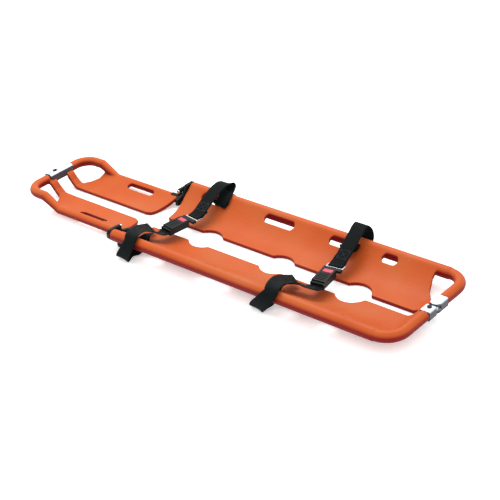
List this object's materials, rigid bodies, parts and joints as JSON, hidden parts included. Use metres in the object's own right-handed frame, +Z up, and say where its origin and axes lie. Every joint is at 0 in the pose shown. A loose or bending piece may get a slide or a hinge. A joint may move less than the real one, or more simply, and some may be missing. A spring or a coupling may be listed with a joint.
{
  "type": "folding scoop stretcher",
  "caption": "Orange moulded scoop stretcher in two halves with metal end couplings, a folding telescopic foot section and buckled webbing straps.",
  "frame": {"origin": "on the floor, under the middle of the board", "axes": "+X to the head end, +Y to the far half that swings open, +Z up"},
  "size_m": [1.64, 0.4866, 0.1122],
  "materials": {
    "shell": "moulded, light grain",
    "cast": "tumbled casting",
    "tube": "drawn, satin",
    "steel": "zinc plated",
    "black_plastic": "moulded, fine grain",
    "press": "moulded",
    "webbing": "woven polyester"
  },
  "bodies": {
    "near_half": {"head_panel_near": "shell", "head_socket": "cast", "head_rivets_near": "steel", "tube_liner_near": "black_plastic", "lever_screw_near": "steel", "foot_strap_near": "webbing", "head_strap_near": "webbing", "foot_buckle_shell": "black_plastic", "head_buckle_shell": "black_plastic", "foot_buckle_cover": "black_plastic", "head_buckle_cover": "black_plastic", "head_latch_spring": "steel", "foot_buckle_spring": "steel", "head_buckle_spring": "steel"},
    "head_latch": {"head_latch_button": "black_plastic"},
    "head_link": {"head_link_tongue": "steel"},
    "far_half": {"head_panel_far": "shell", "head_bracket": "cast", "head_pivot_pin": "steel", "head_rivets_far": "steel", "tube_liner_far": "black_plastic", "lever_screw_far": "steel", "foot_strap_far": "webbing", "head_strap_far": "webbing", "foot_buckle_tongue": "steel", "head_buckle_tongue": "steel", "foot_tongue_grip": "black_plastic", "head_tongue_grip": "black_plastic"},
    "near_slide": {"slide_tube_near": "tube", "hinge_bracket_near": "black_plastic", "hinge_pin_near": "steel"},
    "far_slide": {"slide_tube_far": "tube", "hinge_bracket_far": "black_plastic", "hinge_pin_far": "steel"},
    "near_foot": {"foot_panel_near": "shell", "hinge_arm_near": "black_plastic", "hinge_screws_near": "steel", "foot_socket": "cast", "foot_rivets_near": "steel", "foot_latch_spring": "steel"},
    "far_foot": {"foot_panel_far": "shell", "hinge_arm_far": "black_plastic", "hinge_screws_far": "steel", "foot_bracket": "cast", "foot_rivets_far": "steel"},
    "foot_latch": {"foot_latch_button": "black_plastic"},
    "near_lever": {"clamp_lever_near": "black_plastic"},
    "far_lever": {"clamp_lever_far": "black_plastic"},
    "foot_press": {"foot_buckle_button": "press"},
    "head_press": {"head_buckle_button": "press"}
  },
  "joints": [
    {"name": "head_latch_press", "type": "slide", "parent": "near_half", "child": "head_latch", "axis": [0, 0, -1], "range_m": [0, 0.003], "stiffness_N_per_m": 900, "springref_m": -0.002, "deforming": ["head_latch_spring"]},
    {"name": "coupling_pull_apart", "type": "slide", "parent": "near_half", "child": "head_link", "axis": [0, 1, 0], "range_m": [0, 0.3]},
    {"name": "scoop_open", "type": "hinge", "parent": "head_link", "child": "far_half", "pos_m": [0.802, 0.026, 0.051], "axis": [0, 0, -1], "range_deg": [0, 30]},
    {"name": "near_extend", "type": "slide", "parent": "near_half", "child": "near_slide", "axis": [-1, 0, 0], "range_m": [0, 0.37]},
    {"name": "far_extend", "type": "slide", "parent": "far_half", "child": "far_slide", "axis": [-1, 0, 0], "range_m": [0, 0.37]},
    {"name": "near_fold", "type": "hinge", "parent": "near_slide", "child": "near_foot", "pos_m": [-0.337, -0.16, 0.052], "axis": [0, 1, 0], "range_deg": [0, 140]},
    {"name": "far_fold", "type": "hinge", "parent": "far_slide", "child": "far_foot", "pos_m": [-0.337, 0.16, 0.052], "axis": [0, 1, 0], "range_deg": [0, 140]},
    {"name": "foot_latch_press", "type": "slide", "parent": "near_foot", "child": "foot_latch", "axis": [0, 0, -1], "range_m": [0, 0.003], "stiffness_N_per_m": 900, "springref_m": -0.002, "deforming": ["foot_latch_spring"]},
    {"name": "near_lever_turn", "type": "hinge", "parent": "near_half", "child": "near_lever", "pos_m": [-0.288, -0.195, 0.023], "axis": [0, 0, -1], "range_deg": [0, 90]},
    {"name": "far_lever_turn", "type": "hinge", "parent": "far_half", "child": "far_lever", "pos_m": [-0.288, 0.195, 0.023], "axis": [0, 0, 1], "range_deg": [0, 90]},
    {"name": "foot_buckle_press", "type": "slide", "parent": "near_half", "child": "foot_press", "axis": [-0.1392, -0.9903, 0], "range_m": [0, 0.004], "stiffness_N_per_m": 500, "springref_m": -0.002},
    {"name": "head_buckle_press", "type": "slide", "parent": "near_half", "child": "head_press", "axis": [0.1564, -0.9877, 0], "range_m": [0, 0.004], "stiffness_N_per_m": 500, "springref_m": -0.002}
  ],
  "couplings": [
    {"joint": "far_extend", "follows": "near_extend", "ratio": 1},
    {"joint": "far_fold", "follows": "near_fold", "ratio": 1}
  ]
}
